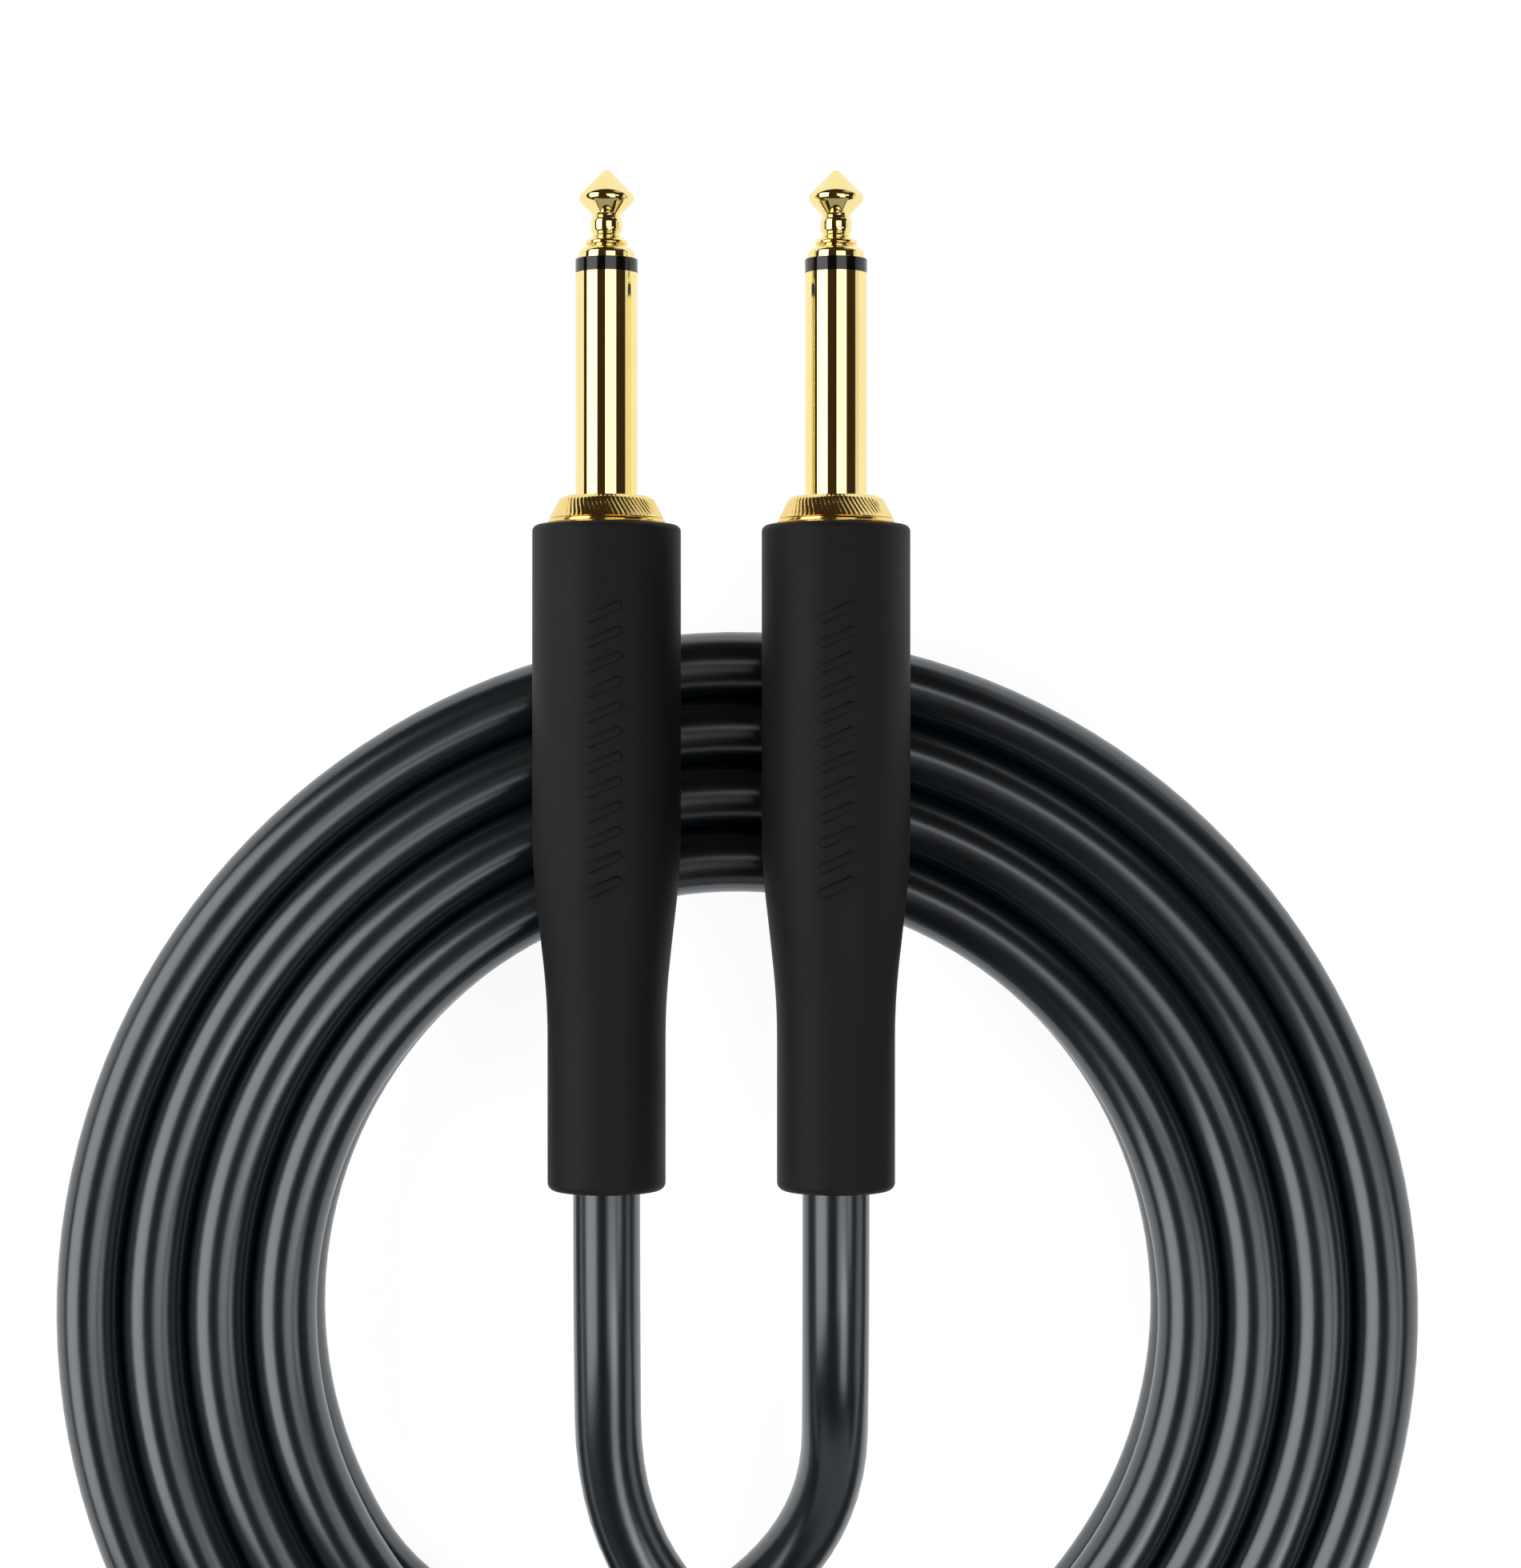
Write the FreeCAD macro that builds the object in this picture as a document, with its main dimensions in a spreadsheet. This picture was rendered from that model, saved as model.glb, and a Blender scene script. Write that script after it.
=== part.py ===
"""Instrument cable: a round coil of jacketed cable with a quarter-inch screw-barrel plug on each end.

Frame: millimetres, +Z up. The origin is the centre of the coil on the surface it lies on, and both
plugs lie on the coil with their tips towards +Y. Each plug's own lengths are stations on its axis:
0 is the front face of the knurled collar, positive towards the tip and negative towards the cable.
"""
import FreeCAD, Part
import math
import os

import Sketcher

SIZES = [
    # alias, value, what it is
    ("cord_d", 6.8, "diameter of the cable's jacket"),
    ("coil_bore", 88.2, "clear diameter inside the coil"),
    ("coil_turns", 4, "turns side by side in each layer"),
    ("coil_layers", 2, "layers of turns"),
    ("coil_round", 3.06, "rounding of the coil's edges"),
    ("rest_gap", 0.3, "gap between the coil and the barrels lying on it"),
    ("plug_a_x", -13.2, "place of plug A's axis across the coil"),
    ("plug_b_x", 10.1, "place of plug B's axis across the coil"),
    ("collar_y", 84.5, "place of the collars' front faces along the coil"),
    ("sleeve_d", 6.35, "diameter of the plug's shaft"),
    ("sleeve_len", 22.7, "shaft from the collar to the insulating ring"),
    ("sleeve_root", 7.0, "length of shaft pressed into the collar"),
    ("sleeve_root_step", 0.275, "step down, all round, to the pressed end of the shaft"),
    ("sleeve_wall", 0.95, "wall of the shaft"),
    ("ring_len", 1.4, "length of the ring between shaft and tip"),
    ("tip_len", 9.1, "length of the tip in front of the ring"),
    ("tip_head_d", 6.2, "diameter of the head's edge before its rounding"),
    ("tip_head_len", 2.85, "point to the head's edge"),
    ("tip_neck_d", 3.2, "diameter of the neck under the head"),
    ("tip_neck_start", 4.6, "point to the top of the neck"),
    ("tip_disc_start", 6.7, "point to the small disc under the neck"),
    ("tip_disc_d", 4.4, "diameter of the small disc"),
    ("tip_disc_len", 0.9, "length of the small disc"),
    ("tip_bead_d", 5.75, "diameter of the bead against the ring"),
    ("tip_waist_d", 2.9, "diameter of the grooves beside the disc"),
    ("tip_groove", 0.2, "width of those grooves"),
    ("tip_point_d", 0.6, "flat left on the point before rounding"),
    ("tip_point_round", 0.25, "rounding of the point"),
    ("tip_head_round", 0.7, "rounding of the head's edge"),
    ("tip_disc_round", 0.35, "rounding of the small disc's edges"),
    ("tip_bead_round", 0.6, "rounding of the bead"),
    ("rod_d", 2.5, "diameter of the rod from the tip to its lug"),
    ("rod_rivet_d", 2.9, "diameter of the rod's riveted end"),
    ("rod_rivet_len", 0.7, "height of the riveted end"),
    ("collar_len", 2.7, "length of the collar"),
    ("collar_flare", 1.1, "how far the collar widens from its front to its rim"),
    ("collar_rim_inset", 0.15, "how far the rim lies under the barrel's surface"),
    ("collar_rim_len", 0.4, "length of the rim"),
    ("thread_step", 0.4, "how far the thread lies under the barrel's bore"),
    ("thread_len", 6.4, "length of thread behind the collar"),
    ("thread_pitch", 1.0, "pitch of the thread"),
    ("thread_depth", 0.45, "depth of the thread"),
    ("thread_groove", 0.8, "width of the thread's groove at its mouth"),
    ("thread_turns", 5, "full turns of thread"),
    ("thread_fit", 0.05, "radial clearance of the barrel on the thread"),
    ("lug_plate", 0.5, "thickness of the tip's lug"),
    ("lug_d", 5.4, "diameter of the lug's eye"),
    ("lug_len", 8.0, "length of the lug behind its eye"),
    ("lug_width", 2.6, "width of the lug"),
    ("lug_hole_d", 1.2, "wire hole in the lug"),
    ("lug_hole_back", 1.8, "centre of that hole from the lug's end"),
    ("washer_len", 1.0, "thickness of the washer under the lug"),
    ("lug_rise", 0.1, "gap between the riveted end and the lug's tail"),
    ("washer_fit", 0.1, "gap between that washer and the ground arm"),
    ("ground_plate", 0.7, "thickness of the ground terminal's metal"),
    ("ground_eye_len", 0.8, "thickness of the ground terminal's eye"),
    ("ground_arm_deg", 64, "how far round the cable the ground arm reaches"),
    ("clamp_deg", 290, "how far round the cable the clamp bands close"),
    ("clamp_len", 2.4, "length of each clamp band"),
    ("clamp_gap", 1.0, "gap between the two clamp bands"),
    ("clamp_inset", 1.4, "jacket in front of the first clamp band"),
    ("core_d", 3.2, "diameter of the insulated centre core"),
    ("core_len", 8.5, "length of insulated core in front of the jacket"),
    ("wire_d", 1.1, "diameter of the centre conductor"),
    ("wire_len", 7.9, "length of bare conductor in front of the core"),
    ("wire_gap", 1.5, "gap from the riveted end to the conductor"),
    ("shield_d", 1.5, "diameter of the twisted shield"),
    ("shield_len", 6.0, "length of the twisted shield"),
    ("solder_d", 2.2, "width of a solder joint"),
    ("solder_len", 3.4, "length of a solder joint"),
    ("barrel_gap", 0.15, "gap between collar and barrel, screwed home"),
    ("barrel_wall", 0.8, "wall of the metal barrel behind its thread"),
    ("barrel_lip_gap", 0.25, "gap from the rear clamp band to the barrel's rear lip"),
    ("barrel_lip_len", 1.6, "length of the rear lip"),
    ("liner_wall", 0.4, "wall of the insulating liner"),
    ("liner_fit", 0.3, "clearance all round the liner in the barrel"),
    ("liner_room", 0.5, "clearance between the liner and what it slides over"),
    ("grip_len", 67.5, "length of the grip"),
    ("grip_front_wall", 1.45, "wall of the grip over the barrel"),
    ("grip_rear_wall", 2.25, "wall of the grip round the cable's exit hole"),
    ("taper_lead", 1.85, "how far in front of the barrel's end the grip starts to narrow"),
    ("taper_len", 13.9, "length over which the grip narrows"),
    ("taper_round", 70.0, "radius that blends the taper"),
    ("grip_front_round", 0.65, "rounding of the grip's front edge"),
    ("grip_rear_round", 0.8, "rounding of the grip's rear edge"),
    ("cavity_wall", 1.7, "wall of the grip round the cavity behind the barrel"),
    ("grip_exit_len", 8.0, "length of the cable's exit hole"),
    ("cord_fit", 0.35, "radial clearance of the cable in that hole"),
    ("cord_mouth", 2.0, "how far inside the grip the straight cable end stops"),
]

doc = FreeCAD.newDocument("instrument_cable")
sheet = doc.addObject("Spreadsheet::Sheet", "sizes")
for row, (alias, number, meaning) in enumerate(SIZES, start=1):
    sheet.set(f"A{row}", meaning)
    sheet.set(f"B{row}", str(number))
    sheet.setAlias(f"B{row}", alias)
doc.recompute()

# Places that follow from the sizes, as expressions on the sheet.
COIL_HEIGHT = "sizes.coil_layers * sizes.cord_d"
COIL_OUTER_R = "sizes.coil_bore / 2 + sizes.coil_turns * sizes.cord_d"
SLEEVE_R = "sizes.sleeve_d / 2"
SLEEVE_ROOT_R = f"({SLEEVE_R} - sizes.sleeve_root_step)"
SLEEVE_BORE_R = f"({SLEEVE_R} - sizes.sleeve_wall)"
ROD_R = "sizes.rod_d / 2"
CORD_R = "(sizes.cord_d / 2)"
CLAMP_R = f"({CORD_R} + sizes.ground_plate)"
LINER_BORE_R = f"({CLAMP_R} + sizes.liner_room)"
LINER_R = f"({LINER_BORE_R} + sizes.liner_wall)"
BARREL_BORE_R = f"({LINER_R} + sizes.liner_fit)"
BARREL_R = f"({BARREL_BORE_R} + sizes.barrel_wall)"
THREAD_R = f"({BARREL_BORE_R} - sizes.thread_step)"
MOUTH_R = f"({THREAD_R} + sizes.thread_fit)"
RIM_R = f"({BARREL_R} - sizes.collar_rim_inset)"
GRIP_R = f"({BARREL_R} + sizes.grip_front_wall)"
EXIT_R = f"({CORD_R} + sizes.cord_fit)"
GRIP_REAR_R = f"({EXIT_R} + sizes.grip_rear_wall)"
AXIS_Z = f"({COIL_HEIGHT} + sizes.rest_gap + {GRIP_R})"
RING_START = "sizes.sleeve_len"
TIP_START = "(sizes.sleeve_len + sizes.ring_len)"
TIP_POINT = "(sizes.sleeve_len + sizes.ring_len + sizes.tip_len)"
COLLAR_BACK = "(-sizes.collar_len)"
BODY_BACK = "(-sizes.collar_len - sizes.thread_len)"
EYE_BACK = f"({BODY_BACK} - sizes.ground_eye_len)"
WASHER_BACK = f"({EYE_BACK} - sizes.washer_len)"
LUG_BACK = f"({WASHER_BACK} - sizes.lug_plate)"
TAIL_RISE = "(sizes.rod_rivet_d / 2 + sizes.lug_rise)"
SHIELD_DROP = "(sizes.cord_d / 2 - sizes.shield_d / 2)"
WIRE_START = f"({LUG_BACK} - sizes.rod_rivet_len - sizes.wire_gap)"
CORE_START = f"({WIRE_START} - sizes.wire_len)"
JACKET_START = f"({CORE_START} - sizes.core_len)"
SHIELD_START = f"({JACKET_START} + sizes.shield_len)"
CLAMP_START = f"({JACKET_START} - sizes.clamp_inset)"
CLAMP_SECOND = f"({CLAMP_START} - sizes.clamp_len - sizes.clamp_gap)"
CLAMP_BACK = f"({CLAMP_SECOND} - sizes.clamp_len)"
BARREL_LIP = f"({CLAMP_BACK} - sizes.barrel_lip_gap)"
BARREL_BACK = f"({BARREL_LIP} - sizes.barrel_lip_len)"
GRIP_FRONT = "(-sizes.collar_len - sizes.barrel_gap)"
GRIP_BACK = f"({GRIP_FRONT} - sizes.grip_len)"
BARREL_THREAD_BACK = f"({GRIP_FRONT} - sizes.thread_len - sizes.liner_fit)"
TAPER_START = f"({BARREL_BACK} + sizes.taper_lead)"
TAPER_END = f"({TAPER_START} - sizes.taper_len)"
EXIT_START = f"({GRIP_BACK} + sizes.grip_exit_len)"
MOUTH = f"({GRIP_BACK} + sizes.cord_mouth)"

PLUGS = {"a": "sizes.plug_a_x", "b": "sizes.plug_b_x"}

# The route of each lead's centreline, from inside the grip to where it joins the coil.
LEAD_ROUTES = {
    "a": [
        (-13.2, 16.15, 21.45),
        (-13.2, 1.5, 21.45),
        (-13.2, -20.7, 15.6),
        (-2.5, -35.5, 13.0),
        (14.9, -41.3, 11.0),
        (32.4, -35.9, 10.2),
        (43.0, -21.9, 10.2),
    ],
    "b": [
        (10.1, 16.15, 21.45),
        (10.1, 1.5, 21.45),
        (10.1, -19.3, 10.2),
        (-1.2, -34.1, 4.4),
        (-19.2, -39.0, 3.4),
        (-36.5, -31.8, 3.4),
        (-45.3, -16.5, 3.4),
    ],
}
ARC_SHARE = 0.45
TOLERANCE = 1e-4


def value(expression):
    """The number that an expression on the sheet comes to."""
    return float(sheet.evalExpression(expression))


def origin_plane(body, role):
    return next(plane for plane in body.Origin.OriginFeatures if plane.Role == role)


def new_body(label):
    body = doc.addObject("PartDesign::Body", label)
    body.Label = label
    return body


def outline(body, name, corners, role="YZ_Plane", offset=None):
    """A closed sketch through corners, each a pair of expressions that place it from the origin."""
    sketch = body.newObject("Sketcher::SketchObject", name)
    sketch.AttachmentSupport = [(origin_plane(body, role), "")]
    sketch.MapMode = "FlatFace"
    if offset:
        sketch.setExpression("AttachmentOffset.Base.z", offset)
    points = [FreeCAD.Vector(value(across), value(up), 0) for across, up in corners]
    count = len(points)
    for index in range(count):
        sketch.addGeometry(Part.LineSegment(points[index], points[(index + 1) % count]))
    for index in range(count):
        sketch.addConstraint(Sketcher.Constraint("Coincident", index, 2, (index + 1) % count, 1))
    for index, (across, up) in enumerate(corners):
        for kind, expression in (("DistanceX", across), ("DistanceY", up)):
            number = value(expression)
            if abs(number) < TOLERANCE:
                on_axis = -2 if kind == "DistanceX" else -1
                sketch.addConstraint(Sketcher.Constraint("PointOnObject", index, 1, on_axis))
                continue
            place = sketch.addConstraint(Sketcher.Constraint(kind, -1, 1, index, 1, number))
            sketch.renameConstraint(place, f"{kind}_{index}")
            sketch.setExpression(f"Constraints.{kind}_{index}", expression)
    return sketch


def ring_sketch(body, name, diameter, centre=("0", "0"), role="XY_Plane"):
    """A circle sketch, its diameter and centre bound to expressions."""
    sketch = body.newObject("Sketcher::SketchObject", name)
    sketch.AttachmentSupport = [(origin_plane(body, role), "")]
    sketch.MapMode = "FlatFace"
    middle = FreeCAD.Vector(value(centre[0]), value(centre[1]), 0)
    sketch.addGeometry(Part.Circle(middle, FreeCAD.Vector(0, 0, 1), value(diameter) / 2))
    size = sketch.addConstraint(Sketcher.Constraint("Diameter", 0, value(diameter)))
    sketch.renameConstraint(size, "width")
    sketch.setExpression("Constraints.width", diameter)
    for kind, on_axis, expression in (("DistanceX", -2, centre[0]), ("DistanceY", -1, centre[1])):
        if abs(value(expression)) < TOLERANCE:
            sketch.addConstraint(Sketcher.Constraint("PointOnObject", 0, 3, on_axis))
            continue
        place = sketch.addConstraint(Sketcher.Constraint(kind, -1, 1, 0, 3, value(expression)))
        sketch.renameConstraint(place, kind)
        sketch.setExpression(f"Constraints.{kind}", expression)
    return sketch


def turned(body, corners, degrees=None, axis="H_Axis", role="YZ_Plane", name="turned"):
    """An outline of (station, radius) corners turned about the plug's axis, or about another one."""
    sketch = outline(body, f"{name}_outline", corners, role)
    feature = body.newObject("PartDesign::Revolution", name)
    feature.Profile = sketch
    feature.ReferenceAxis = (sketch, [axis])
    feature.Angle = 360
    if degrees:
        feature.Midplane = True
        feature.setExpression("Angle", degrees)
    doc.recompute()
    return feature


def tube(body, start, end, inner, outer, degrees=None, name="turned", side=1):
    """A tube, or part of one, between two stations; side -1 centres a part of a tube underneath."""
    low, high = (f"({side}) * ({radius})" for radius in (inner, outer))
    corners = [(start, low), (end, low), (end, high), (start, high)]
    return turned(body, corners, degrees, name=name)


def round_edges(body, base, places, name="rounded"):
    """Fillet the circular edges of base at each (station, radius) by its rounding expression."""
    for number, (station, radius, rounding) in enumerate(places):
        edges = [
            f"Edge{index}"
            for index, edge in enumerate(base.Shape.Edges, start=1)
            if isinstance(edge.Curve, Part.Circle)
            and abs(edge.Curve.Center.y - value(station)) < 1e-3
            and abs(edge.Curve.Radius - value(radius)) < 1e-3
        ]
        fillet = body.newObject("PartDesign::Fillet", f"{name}_{number}")
        fillet.Base = (base, edges)
        fillet.setExpression("Radius", rounding)
        doc.recompute()
        base = fillet
    return base


def on_plug(piece, side):
    """Put a sub-part on plug a's or plug b's axis."""
    piece.setExpression("Placement.Base.x", PLUGS[side])
    piece.setExpression("Placement.Base.y", "sizes.collar_y")
    piece.setExpression("Placement.Base.z", AXIS_Z)
    return piece


def check_cut(before, feature):
    """A feature that cuts must take something away."""
    doc.recompute()
    if feature.Shape.Volume > before - TOLERANCE:
        raise RuntimeError(f"{feature.Name} cut nothing")


def tip_contact(side):
    body = new_body(f"tip_contact_{side}")
    head_back = f"{TIP_POINT} - sizes.tip_neck_start"
    disc = f"({TIP_POINT} - sizes.tip_disc_start)"
    disc_back = f"({disc} - sizes.tip_disc_len)"
    waist = "sizes.tip_waist_d / 2"
    corners = [
        (TIP_POINT, "0"),
        (TIP_POINT, "sizes.tip_point_d / 2"),
        (f"{TIP_POINT} - sizes.tip_head_len", "sizes.tip_head_d / 2"),
        (head_back, "sizes.tip_neck_d / 2"),
        (f"{disc} + sizes.tip_groove", "sizes.tip_neck_d / 2"),
        (f"{disc} + sizes.tip_groove", waist),
        (disc, waist),
        (disc, "sizes.tip_disc_d / 2"),
        (disc_back, "sizes.tip_disc_d / 2"),
        (disc_back, waist),
        (f"{disc_back} - sizes.tip_groove", waist),
        (f"{disc_back} - sizes.tip_groove", "sizes.tip_bead_d / 2"),
        (TIP_START, "sizes.tip_bead_d / 2"),
        (TIP_START, ROD_R),
        (LUG_BACK, ROD_R),
        (LUG_BACK, "sizes.rod_rivet_d / 2"),
        (f"{LUG_BACK} - sizes.rod_rivet_len", "sizes.rod_rivet_d / 2"),
        (f"{LUG_BACK} - sizes.rod_rivet_len", "0"),
    ]
    base = turned(body, corners)
    round_edges(body, base, [
        (TIP_POINT, "sizes.tip_point_d / 2", "sizes.tip_point_round"),
        (f"{TIP_POINT} - sizes.tip_head_len", "sizes.tip_head_d / 2",
         "sizes.tip_head_round"),
        (disc, "sizes.tip_disc_d / 2", "sizes.tip_disc_round"),
        (disc_back, "sizes.tip_disc_d / 2", "sizes.tip_disc_round"),
        (f"{disc_back} - sizes.tip_groove", "sizes.tip_bead_d / 2",
         "sizes.tip_bead_round"),
    ])
    return on_plug(body, side)


def tip_insulator(side):
    body = new_body(f"tip_insulator_{side}")
    tube(body, RING_START, TIP_START, ROD_R, SLEEVE_R)
    return on_plug(body, side)


def sleeve_contact(side):
    """The shaft, stepped down where it is pressed into the collar."""
    body = new_body(f"sleeve_contact_{side}")
    turned(body, [
        (RING_START, SLEEVE_BORE_R),
        (RING_START, SLEEVE_R),
        ("0", SLEEVE_R),
        ("0", SLEEVE_ROOT_R),
        ("-sizes.sleeve_root", SLEEVE_ROOT_R),
        ("-sizes.sleeve_root", SLEEVE_BORE_R),
    ])
    return on_plug(body, side)


def rod_insulator(side):
    body = new_body(f"rod_insulator_{side}")
    tube(body, EYE_BACK, RING_START, ROD_R, SLEEVE_BORE_R)
    return on_plug(body, side)


def threaded_collar(side):
    """The knurled collar and the threaded spigot behind it, turned in one piece."""
    body = new_body(f"threaded_collar_{side}")
    rim = f"{COLLAR_BACK} + sizes.collar_rim_len"
    turned(body, [
        ("0", SLEEVE_ROOT_R),
        ("0", f"{RIM_R} - sizes.collar_flare"),
        (rim, RIM_R),
        (COLLAR_BACK, RIM_R),
        (COLLAR_BACK, THREAD_R),
        (BODY_BACK, THREAD_R),
        (BODY_BACK, SLEEVE_BORE_R),
        ("-sizes.sleeve_root", SLEEVE_BORE_R),
        ("-sizes.sleeve_root", SLEEVE_ROOT_R),
    ])
    before = body.Shape.Volume
    first = f"{COLLAR_BACK} - sizes.thread_pitch / 2"
    root = f"{THREAD_R} - sizes.thread_depth"
    half = "sizes.thread_groove / 2"
    sketch = outline(body, "thread_outline", [
        (f"{first} + {half}", MOUTH_R),
        (first, root),
        (f"{first} - {half}", MOUTH_R),
    ])
    groove = body.newObject("PartDesign::Groove", "thread_groove")
    groove.Profile = sketch
    groove.ReferenceAxis = (sketch, ["H_Axis"])
    groove.Angle = 360
    check_cut(before, groove)
    thread = body.newObject("PartDesign::LinearPattern", "thread")
    thread.Originals = [groove]
    thread.Direction = (sketch, ["H_Axis"])
    thread.Reversed = True
    thread.setExpression("Occurrences", "sizes.thread_turns + 1")
    thread.setExpression("Length", "sizes.thread_pitch * sizes.thread_turns")
    body.Tip = thread
    check_cut(groove.Shape.Volume, thread)
    return on_plug(body, side)


def rear_insulator(side):
    body = new_body(f"rear_insulator_{side}")
    tube(body, WASHER_BACK, EYE_BACK, ROD_R, f"{CORD_R} - sizes.washer_fit")
    return on_plug(body, side)


def tip_lug(side):
    """The eye riveted on the rod and the flat tail that the centre conductor is soldered to."""
    body = new_body(f"tip_lug_{side}")
    tube(body, LUG_BACK, WASHER_BACK, ROD_R, "sizes.lug_d / 2", name="eye")
    half = "sizes.lug_width / 2"
    tail = f"{WASHER_BACK} - sizes.lug_len"
    sketch = outline(body, "tail_outline", [
        (f"-{half}", WASHER_BACK), (half, WASHER_BACK), (half, tail), (f"-{half}", tail),
    ], "XY_Plane", TAIL_RISE)
    pad = body.newObject("PartDesign::Pad", "tail")
    pad.Profile = sketch
    pad.setExpression("Length", "sizes.lug_plate")
    doc.recompute()
    hole = ring_sketch(body, "hole_outline", "sizes.lug_hole_d",
                       ("0", f"{tail} + sizes.lug_hole_back"))
    pocket = body.newObject("PartDesign::Pocket", "hole")
    pocket.Profile = hole
    pocket.Type = "ThroughAll"
    pocket.Reversed = True
    check_cut(pad.Shape.Volume, pocket)
    return on_plug(body, side)


def ground_terminal(side):
    """An eye behind the collar, an arm under the cable and two bands that clamp the jacket."""
    body = new_body(f"ground_terminal_{side}")
    tube(body, EYE_BACK, BODY_BACK, SLEEVE_BORE_R, CLAMP_R, name="eye")
    tube(body, CLAMP_BACK, EYE_BACK, CORD_R, CLAMP_R, "sizes.ground_arm_deg", "arm", side=-1)
    for name, front in (("front_band", CLAMP_START), ("rear_band", CLAMP_SECOND)):
        tube(body, f"{front} - sizes.clamp_len", front, CORD_R, CLAMP_R, "sizes.clamp_deg", name, -1)
    return on_plug(body, side)


def core_insulation(side):
    body = new_body(f"core_insulation_{side}")
    tube(body, JACKET_START, CORE_START, "sizes.wire_d / 2", "sizes.core_d / 2")
    return on_plug(body, side)


def centre_conductor(side):
    body = new_body(f"centre_conductor_{side}")
    turned(body, [
        (JACKET_START, "0"),
        (WIRE_START, "0"),
        (WIRE_START, "sizes.wire_d / 2"),
        (JACKET_START, "sizes.wire_d / 2"),
    ])
    return on_plug(body, side)


def jacket_end(side):
    """The straight end of the cable that the plug holds, from the cut jacket to the grip's mouth."""
    body = new_body(f"jacket_end_{side}")
    turned(body, [(JACKET_START, "0"), (MOUTH, "0"), (MOUTH, CORD_R), (JACKET_START, CORD_R)])
    return on_plug(body, side)


def liner(side):
    body = new_body(f"liner_{side}")
    start = f"{BARREL_THREAD_BACK} - sizes.liner_fit"
    end = f"{BARREL_LIP} + sizes.liner_fit"
    tube(body, end, start, LINER_BORE_R, LINER_R)
    return on_plug(body, side)


def barrel(side):
    """The metal barrel: threaded mouth, bore for the liner and a lip at the rear."""
    body = new_body(f"barrel_{side}")
    turned(body, [
        (GRIP_FRONT, MOUTH_R),
        (GRIP_FRONT, BARREL_R),
        (BARREL_BACK, BARREL_R),
        (BARREL_BACK, LINER_BORE_R),
        (BARREL_LIP, LINER_BORE_R),
        (BARREL_LIP, BARREL_BORE_R),
        (BARREL_THREAD_BACK, BARREL_BORE_R),
        (BARREL_THREAD_BACK, MOUTH_R),
    ])
    return on_plug(body, side)


def grip(side):
    """The moulded grip over the barrel, wide in front and narrower behind."""
    body = new_body(f"grip_{side}")
    cavity = f"{GRIP_REAR_R} - sizes.cavity_wall"
    base = turned(body, [
        (GRIP_FRONT, BARREL_R),
        (GRIP_FRONT, GRIP_R),
        (TAPER_START, GRIP_R),
        (TAPER_END, GRIP_REAR_R),
        (GRIP_BACK, GRIP_REAR_R),
        (GRIP_BACK, EXIT_R),
        (EXIT_START, EXIT_R),
        (EXIT_START, cavity),
        (BARREL_BACK, cavity),
        (BARREL_BACK, BARREL_R),
    ])
    round_edges(body, base, [
        (TAPER_START, GRIP_R, "sizes.taper_round"),
        (TAPER_END, GRIP_REAR_R, "sizes.taper_round"),
        (GRIP_FRONT, GRIP_R, "sizes.grip_front_round"),
        (GRIP_BACK, GRIP_REAR_R, "sizes.grip_rear_round"),
    ])
    return on_plug(body, side)


def coil():
    """The outer shape of the wound cable: a flat ring with rounded edges."""
    body = new_body("coil")
    inner, outer = "sizes.coil_bore / 2", COIL_OUTER_R
    base = turned(body, [
        (inner, "0"), (outer, "0"), (outer, COIL_HEIGHT), (inner, COIL_HEIGHT),
    ], axis="V_Axis", role="XZ_Plane")
    fillet = body.newObject("PartDesign::Fillet", "rounded")
    edges = [f"Edge{number}" for number, edge in enumerate(base.Shape.Edges, start=1)
             if isinstance(edge.Curve, Part.Circle)]
    fillet.Base = (base, edges)
    fillet.setExpression("Radius", "sizes.coil_round")
    return body


def rounded_route(points):
    """Straight runs joined by tangent arcs, each as large as the runs beside it allow."""
    corners = [FreeCAD.Vector(*point) for point in points]
    edges, radii, start = [], [], corners[0]
    for before, corner, after in zip(corners, corners[1:], corners[2:]):
        back, on = before - corner, after - corner
        half_turn = (math.pi - back.getAngle(on)) / 2
        radius = ARC_SHARE * min(back.Length, on.Length) / math.tan(half_turn)
        reach = radius * math.tan(half_turn)
        back.normalize()
        on.normalize()
        entry, leave = corner + back * reach, corner + on * reach
        middle = back + on
        middle.normalize()
        crown = corner + middle * (radius / math.cos(half_turn) - radius)
        edges.append(Part.LineSegment(start, entry).toShape())
        edges.append(Part.Arc(entry, crown, leave).toShape())
        radii.append(radius)
        start = leave
    edges.append(Part.LineSegment(start, corners[-1]).toShape())
    return Part.Wire(edges), radii


def lead(side):
    """The free stretch of cable from a grip's mouth to the coil."""
    path, radii = rounded_route(LEAD_ROUTES[side])
    start, towards = (FreeCAD.Vector(*point) for point in LEAD_ROUTES[side][:2])
    section = Part.Wire(Part.makeCircle(value(CORD_R), start, towards - start))
    shape = path.makePipeShell([section], True, False)
    expected = math.pi * value(CORD_R) ** 2 * path.Length
    print(f"lead_{side}: {path.Length:.1f} mm, radii", [round(radius, 1) for radius in radii],
          f"volume {shape.Volume / expected:.4f} of section times length")
    if abs(shape.Volume / expected - 1) > 0.01:
        raise RuntimeError(f"lead_{side} has the wrong volume")
    feature = doc.addObject("Part::Feature", f"lead_{side}")
    feature.Label = f"lead_{side}"
    feature.Shape = shape
    return feature


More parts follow.
